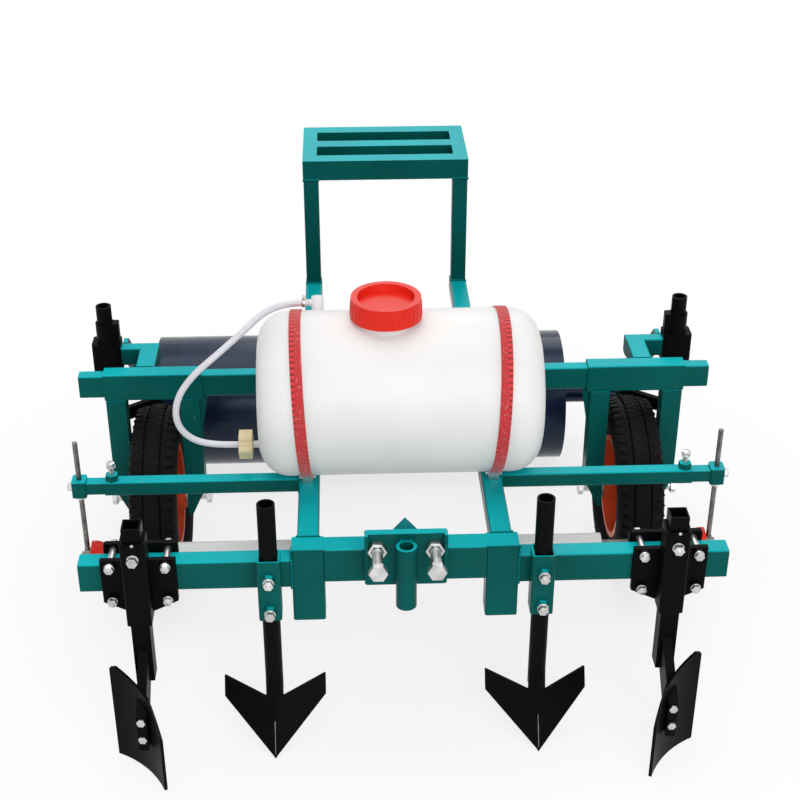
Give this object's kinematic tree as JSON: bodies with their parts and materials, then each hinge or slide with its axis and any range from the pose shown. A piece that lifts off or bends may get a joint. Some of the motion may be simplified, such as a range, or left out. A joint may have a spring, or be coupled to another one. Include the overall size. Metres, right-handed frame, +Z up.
{
  "type": "tractor ridger",
  "caption": "Wheeled ridging and film-laying implement for a walking tractor: toolbar with shovels and blades, spray tank on rails, press roller and rear rack.",
  "frame": {"origin": "bottom centre of the bounding box, on the ground", "axes": "+X to the right seen from the hitch end, +Y rearwards to the roller and rack, +Z up"},
  "size_m": [1.306, 1.5523, 0.7666],
  "materials": {
    "green_paint": "gloss",
    "black_paint": "satin",
    "zinc_steel": "satin",
    "rod_steel": "satin",
    "tank_plastic": "satin",
    "red_plastic": "gloss",
    "red_webbing": "matte",
    "tyre_rubber": "matte",
    "rim_paint": "gloss",
    "roller_paint": "gloss",
    "union_plastic": "satin",
    "hose_plastic": "satin"
  },
  "bodies": {
    "frame": {"yoke_beam": "green_paint", "toolbar_left": "green_paint", "toolbar_right": "green_paint", "hitch_plate": "green_paint", "hitch_pin_tube": "green_paint", "rail_left": "green_paint", "rail_right": "green_paint", "arm_left": "green_paint", "arm_right": "green_paint", "upper_beam": "green_paint", "head_sleeve_left": "green_paint", "head_sleeve_right": "green_paint", "wheel_post_inner_left": "green_paint", "wheel_post_inner_right": "green_paint", "wheel_post_outer_left": "green_paint", "wheel_post_outer_right": "green_paint", "rear_bracket_left": "green_paint", "rear_bracket_right": "green_paint", "roller_arm_left": "green_paint", "roller_arm_right": "green_paint", "rack_leg_left": "green_paint", "rack_leg_right": "green_paint", "rack_top": "green_paint", "tine_sleeves": "green_paint", "rear_clamp_left": "black_paint", "rear_clamp_right": "black_paint", "wheel_axles": "zinc_steel", "roller_axle": "zinc_steel", "tank": "tank_plastic", "strap_left": "red_webbing", "strap_right": "red_webbing", "outlet_union": "union_plastic", "tank_hose": "hose_plastic"},
    "hitch_bolt_left": {"hitch_bolt_left": "zinc_steel"},
    "hitch_bolt_right": {"hitch_bolt_right": "zinc_steel"},
    "outrigger_left": {"outrigger_left": "green_paint", "hanger_rod_left": "rod_steel", "film_shaft": "rod_steel", "film_cones": "red_plastic"},
    "outrigger_right": {"outrigger_right": "green_paint", "hanger_rod_right": "rod_steel"},
    "core_pipe": {"core_pipe": "tank_plastic"},
    "wheel_left": {"tyre_left": "tyre_rubber", "rim_left": "rim_paint"},
    "wheel_right": {"tyre_right": "tyre_rubber", "rim_right": "rim_paint"},
    "rear_tool_left": {"rear_tool_left": "black_paint"},
    "rear_tool_right": {"rear_tool_right": "black_paint"},
    "press_roller": {"press_roller": "roller_paint", "roller_hubs": "roller_paint"},
    "tank_cap": {"tank_cap": "red_plastic"},
    "inner_tine_left": {"inner_tine_left": "black_paint"},
    "inner_tine_right": {"inner_tine_right": "black_paint"},
    "outer_clamp_left": {"outer_clamp_left": "black_paint", "clamp_back_left": "black_paint"},
    "outer_clamp_right": {"outer_clamp_right": "black_paint", "clamp_back_right": "black_paint"},
    "outer_tine_left": {"outer_tine_left": "black_paint"},
    "outer_tine_right": {"outer_tine_right": "black_paint"}
  },
  "joints": [
    {"name": "wheel_spin_left", "type": "hinge", "parent": "frame", "child": "wheel_left", "pos_m": [-0.504, -0.0909, 0.198], "axis": [1, 0, 0], "continuous": true},
    {"name": "hitch_bolt_screw_left", "type": "slide", "parent": "frame", "child": "hitch_bolt_left", "axis": [0, 1, 0], "range_m": [-0.03, 0.04]},
    {"name": "outrigger_reach_left", "type": "slide", "parent": "frame", "child": "outrigger_left", "axis": [-1, 0, 0], "range_m": [0, 0.05]},
    {"name": "rear_tool_depth_left", "type": "slide", "parent": "frame", "child": "rear_tool_left", "axis": [0, 0, 1], "range_m": [-0.03, 0.06]},
    {"name": "inner_tine_depth_left", "type": "slide", "parent": "frame", "child": "inner_tine_left", "axis": [0, 0, 1], "range_m": [-0.04, 0.06]},
    {"name": "outer_clamp_place_left", "type": "slide", "parent": "frame", "child": "outer_clamp_left", "axis": [-1, 0, 0], "range_m": [-0.06, 0.04]},
    {"name": "outer_tine_depth_left", "type": "slide", "parent": "outer_clamp_left", "child": "outer_tine_left", "axis": [0, 0, 1], "range_m": [-0.03, 0.05]},
    {"name": "wheel_spin_right", "type": "hinge", "parent": "frame", "child": "wheel_right", "pos_m": [0.504, -0.0909, 0.198], "axis": [1, 0, 0], "continuous": true},
    {"name": "hitch_bolt_screw_right", "type": "slide", "parent": "frame", "child": "hitch_bolt_right", "axis": [0, 1, 0], "range_m": [-0.03, 0.04]},
    {"name": "outrigger_reach_right", "type": "slide", "parent": "frame", "child": "outrigger_right", "axis": [1, 0, 0], "range_m": [0, 0.05]},
    {"name": "rear_tool_depth_right", "type": "slide", "parent": "frame", "child": "rear_tool_right", "axis": [0, 0, 1], "range_m": [-0.03, 0.06]},
    {"name": "inner_tine_depth_right", "type": "slide", "parent": "frame", "child": "inner_tine_right", "axis": [0, 0, 1], "range_m": [-0.04, 0.06]},
    {"name": "outer_clamp_place_right", "type": "slide", "parent": "frame", "child": "outer_clamp_right", "axis": [1, 0, 0], "range_m": [-0.06, 0.04]},
    {"name": "outer_tine_depth_right", "type": "slide", "parent": "outer_clamp_right", "child": "outer_tine_right", "axis": [0, 0, 1], "range_m": [-0.03, 0.05]},
    {"name": "press_roller_spin", "type": "hinge", "parent": "frame", "child": "press_roller", "pos_m": [0, 0.3971, 0.157], "axis": [1, 0, 0], "continuous": true},
    {"name": "core_pipe_spin", "type": "hinge", "parent": "outrigger_left", "child": "core_pipe", "pos_m": [0, -0.3459, 0.228], "axis": [1, 0, 0], "continuous": true},
    {"name": "tank_cap_turn", "type": "hinge", "parent": "frame", "child": "tank_cap", "pos_m": [-0.025, -0.3009, 0.74], "axis": [0, 0, 1], "continuous": true}
  ]
}
